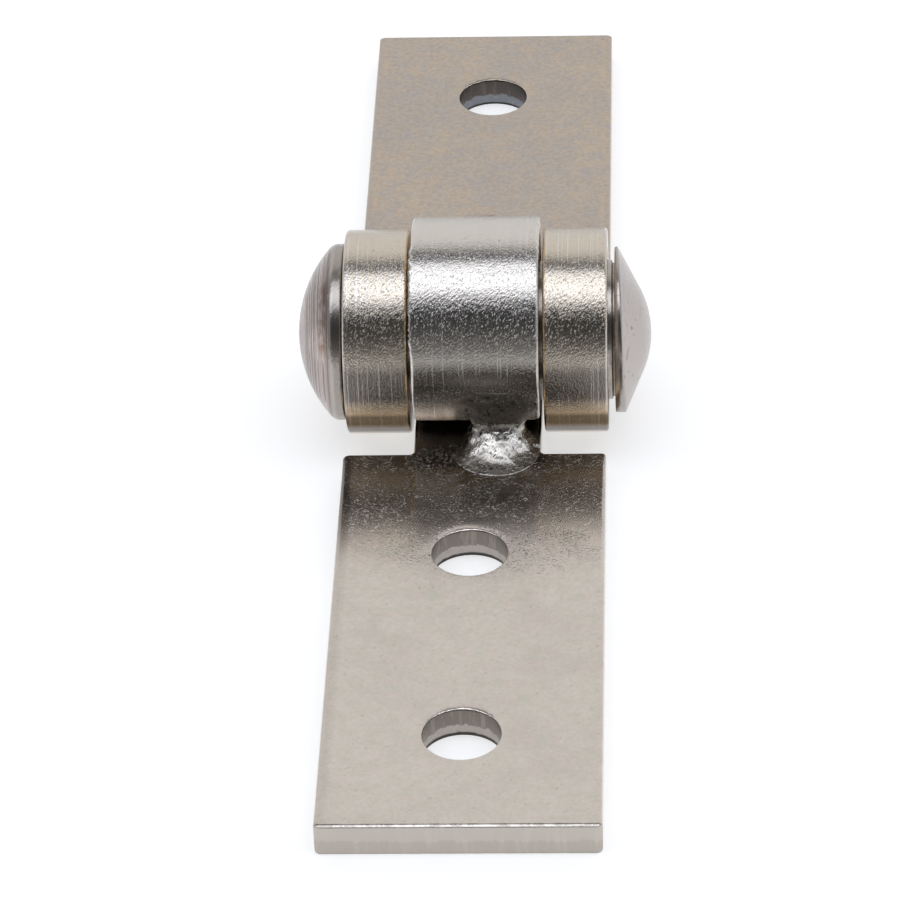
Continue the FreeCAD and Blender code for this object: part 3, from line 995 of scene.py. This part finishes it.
@dataclass
class FrontLeaf(Leaf):
    """The front leaf: a middle tongue rolled into the one wide eye.

    Attributes:
        tongue: Places across of the tongue's two sides.
        margin: From the tongue's sides to the inner grid.
        neck: Places along where the rows that meet the shoulder start and end.
        shoulder_rows: How many of them meet its round corner, its flat and the notch's corner.
        shoulder_round: Corner radius of the left (-1) and the right (1) shoulder.
        burrs: First and last angle round the eye, and height, of each side's ragged burr.
    """

    tongue: tuple[float, float] = (-6.95, 7.55)
    margin: float = 1.0
    neck: tuple[float, float] = (-18.0, -12.9)
    shoulder_rows: tuple[int, int, int] = (5, 8, 5)
    shoulder_round: dict[int, float] = field(default_factory=lambda: {-1: 0.8, 1: 0.48})
    burrs: dict[int, tuple[float, float, float]] = field(
        default_factory=lambda: {-1: (98.0, 162.0, 0.26), 1: (70.0, 110.0, 0.1)})

    def inner_grid(self) -> tuple[np.ndarray, np.ndarray]:
        """Places across and along of the grid inside the rim."""
        across = np.linspace(self.tongue[0] + self.margin, self.tongue[1] - self.margin, 31)
        first, last = self.neck
        end = self.lip - self.margin
        return across, np.concatenate([
            self.bar_rows(first), np.linspace(first, last, sum(self.shoulder_rows), endpoint=False),
            np.linspace(last, end, round((end - last) / self.roll_step) + 1)])

    def burr(self, place: np.ndarray, side: int) -> np.ndarray:
        """How far the ragged burr stands out of the eye's side: waves inside a soft window."""
        first, last, height = self.burrs[side]
        turn = np.degrees(place / self.outer) - 90
        window = np.clip((turn - first) / 6, 0, 1) * np.clip((last - turn) / 6, 0, 1)
        ragged = 0.6 + 0.5 * waves(place[:, None], 1.1, self.seed + side, 9)
        return height * window * ragged.clip(0.05, 1)

    def side_runs(self, side: int) -> list[RimRun]:
        """The runs up one side, from the free end's corner to the lip's.

        Args:
            side: 1 for the right side; -1 for the left one, which is drawn as its mirror image.

        Returns:
            The runs in order from the free end.
        """
        across, along = self.inner_grid()
        tongue, inner = (self.tongue[1], across[-1]) if side > 0 else (-self.tongue[0], -across[0])
        bar = len(self.bar_rows(self.neck[0]))
        rolled = bar + sum(self.shoulder_rows)
        notch, small, cut = self.notch_corner, self.shoulder_round[side], self.lip_corner
        flat, foot, top = self.half - small, -self.shoulder, self.lip - cut
        round_steps, flat_steps, notch_steps = self.shoulder_rows
        shoulder = np.concatenate([
            bend_round((flat, foot - small), small, 0, 90, round_steps),
            straight((flat, foot), (tongue + notch, foot), flat_steps),
            bend_round((tongue + notch, foot + notch), notch, -90, -180, notch_steps)])
        eye = self.long_run(inner, along[rolled:-1], along[-1], tongue, foot + notch, top, Edge.ROLL)
        eye.outline[:, 0] += self.burr(eye.outline[:, 1], side)
        return [*self.end_runs(inner, along[0], 8),
                self.long_run(inner, along[:bar], self.neck[0], self.half,
                              -self.reach + self.end_corner, foot - small, Edge.SIDE),
                RimRun(pairs(inner, along[bar:rolled]), shoulder, Edge.SHARP, 1), eye,
                RimRun(fixed(inner, along[-1], 6), bend_round((tongue - cut, top), cut, 0, 90, 6),
                       Edge.SHARP)]

    def rim(self) -> list[RimRun]:
        """The outline, counterclockwise seen from above, in runs."""
        across, along = self.inner_grid()
        cut = self.lip_corner
        top = np.linspace(self.tongue[1] - cut, self.tongue[0] + cut, len(across))[:-1]
        lip = RimRun(pairs(across[:0:-1], along[-1]), pairs(top, self.lip), Edge.SHARP)
        return [*self.side_runs(1), lip, *mirrored(self.side_runs(-1)), self.heel()]


@dataclass
class RearLeaf(Leaf):
    """The rear leaf: two outer tongues rolled into the narrow eyes.

    Attributes:
        notch_half: Half the width of the notch between the tongues.
    """

    notch_half: float = 7.67
    curl_end: float = 24.0

    def inner_grid(self) -> tuple[np.ndarray, np.ndarray]:
        """Places across and along of the grid inside the rim, out to the tongues' middles."""
        middle = (self.notch_half + self.half) / 2
        last = -self.shoulder - 1.6
        return np.linspace(-middle, middle, 41), np.append(self.bar_rows(last), last)

    def side_runs(self) -> list[RimRun]:
        """The runs of the right side: up the outside, round the lip and down into the notch."""
        across, along = self.inner_grid()
        inner, stop, end = across[-1], along[-1], self.lip - 1.2
        notch, cut, top = self.notch_corner, self.lip_corner, self.lip - self.lip_corner
        foot = -self.shoulder + notch
        steps = round((end - stop) / self.roll_step)
        up, down = (np.linspace(*way, steps, endpoint=False) for way in ((stop, end), (end, stop)))
        lip = np.concatenate([
            bend_round((self.half - cut, top), cut, 0, 90, 6),
            straight((self.half - cut, self.lip), (self.notch_half + cut, self.lip), 10),
            bend_round((self.notch_half + cut, top), cut, 90, 180, 6)])
        corner = bend_round((self.notch_half - notch, foot), notch, 0, -90, 5)
        return [*self.end_runs(inner, along[0], 6),
                self.long_run(inner, along[:-1], stop, self.half, -self.reach + self.end_corner,
                              stop, Edge.SIDE),
                self.long_run(inner, up, end, self.half, stop, top, Edge.ROLL),
                RimRun(fixed(inner, end, len(lip)), lip, Edge.SHARP),
                self.long_run(inner, down, stop, self.notch_half, top, foot, Edge.ROLL),
                RimRun(fixed(inner, stop, 5), corner, Edge.SHARP, 1)]

    def rim(self) -> list[RimRun]:
        """The outline, counterclockwise seen from above, in runs."""
        across, along = self.inner_grid()
        right = self.side_runs()
        cut = self.notch_half - self.notch_corner
        floor = np.linspace(cut, -cut, len(across))[:-1]
        notch = RimRun(pairs(across[:0:-1], along[-1]), pairs(floor, -self.shoulder), Edge.SHARP, 1)
        return [*right, notch, *mirrored(right), self.heel()]


# The rivet pin


@dataclass
class RivetPin:
    """The rivet pin: one profile carried round the pin's axis, with the pressed head askew."""

    axis_height: float
    left_tip: float
    right_tip: float
    shank: float = 8.0
    turned_radius: float = 10.15
    turned_rim: float = 1.35
    turned_dome: float = 4.1
    turned_shoulder: float = 0.8
    pressed_radius: float = 9.55
    pressed_rim: float = 0.75
    pressed_dome: float = 3.4
    crown_share: float = 0.728
    tilt: float = 2.4
    thick_side: float = 36.0
    neck: float = 0.3
    around: int = 240

    def cap(self, rim: float, rise: float, share: float, steps: int) -> np.ndarray:
        """Half profile of a head from its tip: a round crown, then a tangent straight flank.

        Args:
            rim: The rim's radius.
            rise: The tip's height above the rim.
            share: The crown's radius as a share of the plain cap's.
            steps: How many places on the crown.

        Returns:
            Places as (height above the rim, radius), from the tip to the rim.
        """
        crown = (rim ** 2 + rise ** 2) / (2 * rise) * share
        centre = rise - crown
        far = math.hypot(rim, centre)
        last = math.atan2(rim, -centre) - math.acos(min(1.0, crown / far))
        turn = np.linspace(0, last, steps)
        round_part = np.stack([centre + crown * np.cos(turn), crown * np.sin(turn)], -1)
        flank = round_part[-1] + (np.array([0, rim]) - round_part[-1]) * np.linspace(0, 1, 12)[1:, None]
        return np.concatenate([round_part, flank]) if share < 1 else round_part

    def profile(self) -> tuple[np.ndarray, np.ndarray]:
        """The whole half profile from the left tip to the right one.

        Returns:
            Places as (along X, radius), and the share of the pressed head's tilt at each.
        """
        under_left = self.left_tip + self.turned_dome + self.turned_rim
        under_right = self.right_tip - self.pressed_dome - self.pressed_rim
        cap = self.cap(self.turned_radius, self.turned_dome, 1.0, 60)
        dome = np.stack([under_left - self.turned_rim - cap[:, 0], cap[:, 1]], -1)
        keep = dome[:, 1] < self.turned_radius - self.turned_shoulder * 0.62
        corner_x, corner_r = under_left - self.turned_rim, self.turned_radius
        start = dome[keep][-1]
        end = np.array([corner_x + self.turned_shoulder * 0.62, corner_r])
        share = np.linspace(0, 1, 10)[1:, None]
        corner = np.array([corner_x, corner_r])
        shoulder = start * (1 - share) ** 2 + 2 * corner * share * (1 - share) + end * share ** 2
        edge = 0.2
        body = np.array([
            (under_left - edge - 0.03, corner_r), (under_left - edge, corner_r),
            (under_left - edge * 0.3, corner_r - edge * 0.3), (under_left, corner_r - edge),
            (under_left, corner_r - edge - 0.05), (under_left, self.shank + 0.1),
            (under_left, self.shank), (under_left + 0.1, self.shank),
            (0.0, self.shank),
            (under_right - self.neck - 0.1, self.shank), (under_right - self.neck - 0.03, self.shank),
            (under_right - self.neck, self.shank - 0.03),
            (under_right - self.neck, self.shank - self.neck),
            (under_right - 0.02, self.shank - self.neck), (under_right, self.shank - self.neck + 0.02),
            (under_right, self.shank), (under_right, self.pressed_radius - 0.12),
            (under_right, self.pressed_radius - 0.05)])
        cap = self.cap(self.pressed_radius, self.pressed_dome, self.crown_share, 40)[::-1]
        rim_x = under_right + self.pressed_rim
        rim = np.array([(rim_x - 0.06, self.pressed_radius), (rim_x - 0.02, self.pressed_radius)])
        head = np.stack([rim_x + cap[:, 0], cap[:, 1]], -1)
        head[0] += (0.02, -0.02)
        places = np.concatenate([dome[keep], shoulder, body, rim, head])
        tilted = np.zeros(len(places))
        tilted[len(places) - len(rim) - len(head):] = 1
        return places, tilted

    def patches(self) -> list[Patch]:
        """The pin's skin: radius times the circle, then the tilted part turned about its rim."""
        places, tilted = self.profile()
        turn = np.linspace(0, 2 * np.pi, self.around, endpoint=False)
        x = places[:, :1] + 0 * turn
        y = places[:, 1:] * np.cos(turn)
        z = places[:, 1:] * np.sin(turn)
        rim_x = self.right_tip - self.pressed_dome
        side = math.radians(self.thick_side)
        lower = -(y * math.sin(side) + z * math.cos(side))
        angle = math.radians(self.tilt)
        lean_x = rim_x + (x - rim_x) * math.cos(angle) + lower * math.sin(angle)
        shift = lower * math.cos(angle) - (x - rim_x) * math.sin(angle) - lower
        mix = tilted[:, None]
        x = x + (lean_x - x) * mix
        y = y - shift * math.sin(side) * mix
        z = z - shift * math.cos(side) * mix
        x = x - max(0.0, x.max() - self.right_tip) * mix
        return [Patch(np.stack([x, y, z + self.axis_height], -1), True)]


# The welds


@dataclass(frozen=True)
class Station:
    """One level of a weld.

    Attributes:
        height: Above the ground plane.
        stand: How far it stands out from the curl's face.
        left: Half width to the left.
        right: Half width to the right.
    """

    height: float
    stand: float
    left: float
    right: float


@dataclass
class CurlWeld:
    """A lump of weld metal: a round puddle on the leaf, a neck in the gap, a flare on the curl.

    Attributes:
        outer: The roll's outer radius, which is also its centre's height.
        middle: The weld's place along the pin.
        stations: The levels, from the toe up.
        neck: Half width where the puddle runs in under the curl.
        drop: A stray drop beside the puddle: its place across and along, size and height.
    """

    outer: float
    middle: float
    stations: tuple[Station, ...]
    neck: float
    drop: Optional[tuple[float, float, float, float]] = None
    inward: float = 2.6
    lumps: float = 0.05
    seed: int = 5
    leg_steps: int = 26
    arc_steps: int = 44
    rings: int = 150

    def patches(self) -> list[Patch]:
        """The weld's skin, as level rings one above another.

        Each ring starts inside the curl, runs out along a leg that widens from the neck, goes
        round a half ellipse and comes back along the other leg. Where a level stands out less
        than it is wide, the leg has no length. Small waves push the skin in and out.
        """
        knots = np.linspace(0, 1, len(self.stations))
        share = np.linspace(0, 1, self.rings)
        table = np.array([(s.height, s.stand, s.left, s.right) for s in self.stations])
        height, stand, left, right = (smooth_through(knots, column, share)[:, None]
                                      for column in table.T)
        over = np.clip(height - self.outer, -self.outer, self.outer)
        face = np.sqrt(np.maximum(self.outer ** 2 - over ** 2, 0.0))
        turn = np.linspace(0, np.pi, 2 * self.arc_steps + 1)[None, :]
        leg = np.linspace(0, 1, self.leg_steps, endpoint=False)[None, :]
        reach = np.maximum(stand, 0.02)
        centre = np.maximum(0.0, stand - (left + right) / 2)
        pinch = np.clip(centre / 2.0, 0.0, 1.0)
        ease = leg ** 2 * (3 - 2 * leg)

        def side(half: np.ndarray) -> tuple[np.ndarray, np.ndarray]:
            start = half - (half - self.neck) * pinch
            return start + (half - start) * ease, centre * leg

        right_x, leg_out = side(right)
        left_x, _ = side(left)
        wide = np.where(np.cos(turn) > 0, right, left)
        feather = 1 + 1.3 * np.clip((height - 6.8) / 1.6, 0, 1)
        bulge = np.clip(np.sin(turn), 0, 1) ** feather
        arc_x, arc_out = wide * np.cos(turn), centre + (reach - centre) * bulge
        back = np.linspace(-1, 1, 13)[None, 1:-1]
        back_x = back * np.where(back < 0, left_x[:, :1], right_x[:, :1])
        back_out = -self.inward * (1 - back ** 4) + 0 * height
        across = np.concatenate([right_x, arc_x, -left_x[:, ::-1], back_x], axis=1)
        out = np.concatenate([leg_out, arc_out, leg_out[:, ::-1], back_out], axis=1)
        points = np.stack([self.middle + across, -face - out, height + 0 * across], -1)
        push = waves(points, 2.8, self.seed) + 0.35 * waves(points, 1.2, self.seed + 1)
        fade = (np.sin(np.pi * np.clip(share * 0.96 + 0.03, 0, 1)) ** 0.5)[:, None] * (out > 0)
        points[..., 1] -= self.lumps * push * fade
        points[..., 2] += self.lumps * push * fade * (points[..., 2] < self.outer / 2)
        skin = np.concatenate([points[:1].mean(axis=1, keepdims=True) + 0 * points[:1], points,
                               points[-1:].mean(axis=1, keepdims=True) + 0 * points[-1:]])
        patches = [Patch(skin, True)]
        if self.drop:
            patches.append(self.stray_drop())
        return patches

    def stray_drop(self) -> Patch:
        """The drop: a ball pressed flat, half sunk in the leaf."""
        across, along, size, height = self.drop
        up = np.linspace(-math.pi / 2, math.pi / 2, 20)[:, None]
        round_it = np.linspace(0, 2 * np.pi, 40, endpoint=False)[None, :]
        unit = np.stack([np.cos(up) * np.cos(round_it), np.cos(up) * np.sin(round_it),
                         np.sin(up) + 0 * round_it], -1)
        uneven = 1 + 0.12 * waves(unit, 1.4, self.seed + 7)[..., None]
        return Patch(np.array([across, along, 3.7]) + unit * uneven * np.array([size, size * 1.2, height]),
                     True)


def smooth_through(knots: np.ndarray, values: np.ndarray, places: np.ndarray) -> np.ndarray:
    """A cubic curve through values, whose slope at each knot is the mean of its neighbours'.

    Args:
        knots: Where the values are given, evenly spaced.
        values: The values.
        places: Where the curve is wanted.

    Returns:
        The curve's values.
    """
    step = knots[1] - knots[0]
    slope = np.gradient(values, step)
    index = np.clip(((places - knots[0]) / step).astype(int), 0, len(knots) - 2)
    t = (places - knots[index]) / step
    return ((2 * t ** 3 - 3 * t ** 2 + 1) * values[index] + (t ** 3 - 2 * t ** 2 + t) * step * slope[index]
            + (3 * t ** 2 - 2 * t ** 3) * values[index + 1] + (t ** 3 - t ** 2) * step * slope[index + 1])


def turned_round(patches: Sequence[Patch]) -> list[Patch]:
    """Patches drawn towards -Y, turned half round about +Z."""
    return [Patch(p.points * np.array([-1.0, -1.0, 1.0]), p.closed, p.finish) for p in patches]


def moved(patches: Sequence[Patch], across: float) -> list[Patch]:
    """Patches moved along +X."""
    return [Patch(p.points + np.array([across, 0.0, 0.0]), p.closed, p.finish) for p in patches]


# The studio


@dataclass(frozen=True)
class PhotoView:
    """The photograph's camera: long lens, from the front and above."""

    focal_px: float = 4892.99
    frame_px: float = 900.0
    sensor: float = 36.0
    pitch: float = 36.051
    yaw: float = 3.123
    roll: float = -2.277
    distance: float = 565.07
    target: tuple[float, float, float] = (-3.391, -7.225, 0.0)

    def place(self) -> bpy.types.Object:
        """Set up the camera.

        It looks down by the pitch, turned by the yaw from +Y towards -X, stands back from the
        target by the distance, and is rolled about its line of sight.
        """
        pitch, yaw, roll = (math.radians(v) for v in (self.pitch, self.yaw, self.roll))
        ahead = Vector((-math.sin(yaw) * math.cos(pitch), math.cos(yaw) * math.cos(pitch),
                        -math.sin(pitch)))
        level = Vector((math.cos(yaw), math.sin(yaw), 0))
        over = level.cross(ahead)
        right = level * math.cos(roll) + over * math.sin(roll)
        up = over * math.cos(roll) - level * math.sin(roll)
        lens = bpy.data.cameras.new("photo_view")
        lens.sensor_width = self.sensor
        lens.lens = self.focal_px * self.sensor / self.frame_px
        lens.clip_start, lens.clip_end = 0.01, 20.0
        camera = bpy.data.objects.new("photo_view", lens)
        bpy.context.scene.collection.objects.link(camera)
        place = (Vector(self.target) - ahead * self.distance) * MM
        rows = [(right[i], up[i], -ahead[i], place[i]) for i in range(3)]
        camera.matrix_world = Matrix(rows + [(0, 0, 0, 1)])
        bpy.context.scene.camera = camera
        return camera


@dataclass(frozen=True)
class StudioLight:
    """A soft studio seen in the metal, told by the angle from the front horizon over the top.

    Attributes:
        bands: Angle in degrees and brightness, from the front horizon (0) to the back one (180).
        left: Brightness far to the left.
        right: Brightness far to the right.
        most: The brightest band, which the ramp is scaled by.
        strip_colour: The slightly cool white of the bright strip overhead.
        cool: The angles that this colour fades in over, and those that it fades out over.
    """

    bands: tuple[tuple[float, float], ...] = (
        (0.0, 0.22), (12.0, 0.17), (25.0, 0.075), (40.0, 0.045), (63.0, 0.045), (66.0, 0.40), (70.0, 2.0),
        (99.5, 2.0), (104.0, 0.30), (107.0, 0.09), (117.5, 0.09), (122.5, 0.50), (129.0, 0.81), (140.0, 0.85),
        (180.0, 0.85))
    left: float = 0.42
    right: float = 0.60
    most: float = 2.5
    strip_colour: Colour = (0.935, 0.98, 1.07)
    cool: tuple[tuple[float, float], ...] = ((24.0, 40.0), (128.0, 108.0))

    def hang(self) -> None:
        """Set the world: a ramp over the angle, with plain walls far to either side."""
        world = bpy.data.worlds.new("studio")
        bpy.context.scene.world = world
        world.use_nodes = True
        graph = Graph(world.node_tree)
        axes = graph.add("SeparateXYZ", Vector=graph.get("TexCoord", "Generated"))
        across, behind, up = (Value(graph, socket) for socket in axes.outputs)
        angle = graph.math("ARCTAN2", up, behind * -1.0)
        ramp = graph.add("ValToRGB", i0=graph.math("DIVIDE", angle, math.pi))
        stops = ramp.color_ramp.elements
        for number, (degrees, bright) in enumerate(self.bands):
            stop = stops[number] if number < 2 else stops.new(degrees / 180)
            stop.position = degrees / 180
            stop.color = (bright / self.most,) * 3 + (1.0,)
        band = Value(graph, ramp.outputs["Color"]) * self.most
        wall = across.ramp(-0.3, 0.3, self.left, self.right)
        first, last = ([math.radians(v) for v in ends] for ends in self.cool)
        cool = angle.ramp(*first) * angle.ramp(*last)
        graph.shade("Background", Strength=(wall - band) * abs(across).ramp(0.62, 0.86) + band,
                    Color=graph.blend(cool, WHITE, self.strip_colour))


@dataclass(frozen=True)
class PaleFloor:
    """A plain pale floor that keeps the hinge's shadow and dims gently far away from it.

    Attributes:
        half: Half its width, in metres.
        albedo: Its colour round the hinge.
        far_albedo: Its colour far away.
        lift: How much of its white comes from itself rather than from the studio.
        far_lift: The same, far away.
        near: Where the dimming starts, in millimetres from the origin.
        far: Where it ends.
    """

    half: float = 2.5
    albedo: float = 0.62
    far_albedo: float = 0.42
    lift: float = 0.60
    far_lift: float = 0.24
    near: float = 112.0
    far: float = 185.0

    def lay(self) -> None:
        """Make the floor just under the hinge, white to the camera and in the metal."""
        mesh = bpy.data.meshes.new("floor")
        corner = np.array([(-1, -1), (1, -1), (1, 1), (-1, 1)]) * self.half
        mesh.from_pydata([(x, y, -0.00002) for x, y in corner.tolist()], [], [(0, 1, 2, 3)])
        floor = bpy.data.objects.new("floor", mesh)
        bpy.context.scene.collection.objects.link(floor)
        material, graph, place, _ = open_material("pale_floor")
        away = graph.get("VectorMath", "Value", {"operation": "LENGTH"}, MM, i0=place)
        shade = away.ramp(self.near, self.far, self.albedo, self.far_albedo)
        rays = graph.add("LightPath").outputs
        camera, glossy, clear = (Value(graph, rays[f"Is {kind} Ray"])
                                 for kind in ("Camera", "Glossy", "Transmission"))
        seen = graph.math("MAXIMUM", camera, graph.math("MAXIMUM", glossy, clear))
        lift = seen * away.ramp(self.near, self.far, self.lift, self.far_lift)
        grey = graph.get("CombineColor", i0=shade, i1=shade, i2=shade)
        graph.shade(Base_Color=grey, Metallic=0.0, Roughness=1.0, Specular_IOR_Level=0.0,
                    Emission_Color=WHITE, Emission_Strength=lift)
        mesh.materials.append(material)


def build_leaves() -> None:
    """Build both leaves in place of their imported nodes."""
    front = Nickel("front_nickel", (0.712, 0.648, 0.588), (0.67, 0.588, 0.542), (0.62, 0.60, 0.525),
                   (0.68, 0.638, 0.59), (0.60, 0.54, 0.47), (0.42, 0.36, 0.30),
                   (0.50, 0.42, 0.32), (2.3, -14.0, 4.0))
    # The rear leaf's plating is painted darker and tanner than the front's: partly painted shade for the far
    # leaf's light, partly its own tan and bluish-grey mottling
    rear = Nickel("rear_nickel", (0.572, 0.475, 0.38), (0.50, 0.44, 0.385), (0.455, 0.44, 0.432),
                  (0.66, 0.59, 0.50), (0.62, 0.47, 0.31), (0.16, 0.13, 0.10),
                  (0.46, 0.39, 0.30), (0.0, 14.0, 4.0), (0.72, 0.53, 0.31), 7.67,
                  eye_roughness=0.14, calm_below=3.0, crown=22.0, belt=(10.6, 14.4),
                  belt_share=0.82, gilt=0.35, grit=0.32)
    finishes = {
        "front": (front, ShearedSteel("front_sheared", (0.545, 0.50, 0.45), (0.525, 0.48, 0.43), 2.0,
                                      foot=0.1, smear=0.3),
                  ShearedSteel("front_punched", (0.24, 0.21, 0.185), (0.50, 0.455, 0.42),
                               foot=0.42, smear=0.2)),
        # The rear cut and punched faces are painted darker than the front's too, as painted shade for the far
        # leaf's light
        "rear": (rear, ShearedSteel("rear_sheared", (0.46, 0.41, 0.35), (0.42, 0.37, 0.31), 0.2,
                                    foot=0.1, smear=0.3),
                 ShearedSteel("rear_punched", (0.11, 0.095, 0.085), (0.25, 0.26, 0.285),
                              foot=0.3, smear=0.1))}
    for side, body, slot in (("front", Body.FRONT, Slot.FRONT), ("rear", Body.REAR, Slot.REAR)):
        box, holes = node_box(side + "_leaf"), mount(side + "_screw_holes")
        middle = abs(holes["pos_m"][1]) / MM
        spacing = holes["dims"]["spacing_y_mm"] / 2
        common = dict(outer=box[1][2] / 2, half=(box[1][0] - box[0][0]) / 2,
                      hole_radius=holes["dims"]["hole_r_mm"],
                      hole_reaches=(middle - spacing, middle + spacing))
        if side == "front":
            leaf = FrontLeaf(reach=-box[0][1], **common)
            skin = moved(leaf.patches(), (box[0][0] + box[1][0]) / 2)
        else:
            leaf = RearLeaf(reach=box[1][1], seed=11, askew=-1.0, **common)
            skin = turned_round(leaf.patches())
        piece = build_piece(side + "_leaf_bar", skin, [f.material() for f in finishes[side]])
        settle(piece, body, slot, side + "_leaf")


def build_pin() -> None:
    """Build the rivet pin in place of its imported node."""
    box = node_box("hinge_pin")
    height = (box[0][2] + box[1][2]) / 2
    pin = RivetPin(height, box[0][0], box[1][0])
    steel = RivetSteel("rivet_nickel", (0.46, 0.412, 0.392), (0.57, 0.497, 0.46), (0.50, 0.46, 0.42),
                       (0.26, 0.13, 0.09), height).material()
    settle(build_piece("rivet_pin", pin.patches(), [steel]), Body.RIVET, Slot.PIN, "hinge_pin")


def build_welds() -> None:
    """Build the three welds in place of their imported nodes."""
    steel = WeldSteel("weld_nickel", (0.62, 0.59, 0.54), (0.36, 0.32, 0.28)).material()
    levels = (
        Station(3.50, 8.72, 4.9, 4.6), Station(3.82, 8.55, 5.2, 4.85), Station(3.94, 7.95, 5.1, 4.8),
        Station(4.06, 7.30, 4.9, 4.7), Station(4.22, 6.50, 4.6, 4.5), Station(4.46, 5.65, 4.25, 4.2),
        Station(4.80, 4.80, 3.85, 3.9), Station(5.22, 3.85, 3.5, 3.6), Station(5.70, 2.75, 3.15, 3.25),
        Station(6.30, 1.60, 2.95, 3.1), Station(7.10, 0.80, 3.2, 3.4), Station(8.10, 0.47, 4.0, 4.1),
        Station(9.10, 0.33, 4.6, 4.7), Station(10.1, 0.19, 4.5, 4.6), Station(10.9, 0.09, 3.8, 3.9),
        Station(11.7, 0.02, 2.4, 2.4))
    front, rear = node_box("front_leaf"), node_box("rear_leaf")
    weld = CurlWeld(outer=front[1][2] / 2, middle=2.33, stations=levels, neck=2.75,
                    drop=(6.55, -12.1, 0.62, 0.75))
    piece = build_piece("front_weld_bead", weld.patches(), [steel])
    settle(piece, Body.FRONT, Slot.WELD, "front_curl_weld")
    small = tuple(Station(s.height, s.stand * 0.9, s.left * 0.52, s.right * 0.54) for s in levels)
    for side, seed in (("left", 21), ("right", 34)):
        box = node_box("rear_curl_weld_" + side)
        middle = -(box[0][0] + box[1][0]) / 2
        weld = CurlWeld(outer=rear[1][2] / 2, middle=middle, stations=small, neck=1.6, seed=seed)
        piece = build_piece("rear_weld_bead_" + side, turned_round(weld.patches()), [steel])
        settle(piece, Body.REAR, Slot.WELD, "rear_curl_weld_" + side)


def main() -> None:
    """Build the hinge and its studio."""
    logging.basicConfig(level=logging.INFO, format="%(name)s: %(message)s")
    bpy.context.scene.view_settings.view_transform = "Standard"
    PhotoView().place()
    StudioLight().hang()
    PaleFloor().lay()
    build_leaves()
    build_pin()
    build_welds()
    bpy.context.view_layer.update()


if __name__ == "__main__":
    main()
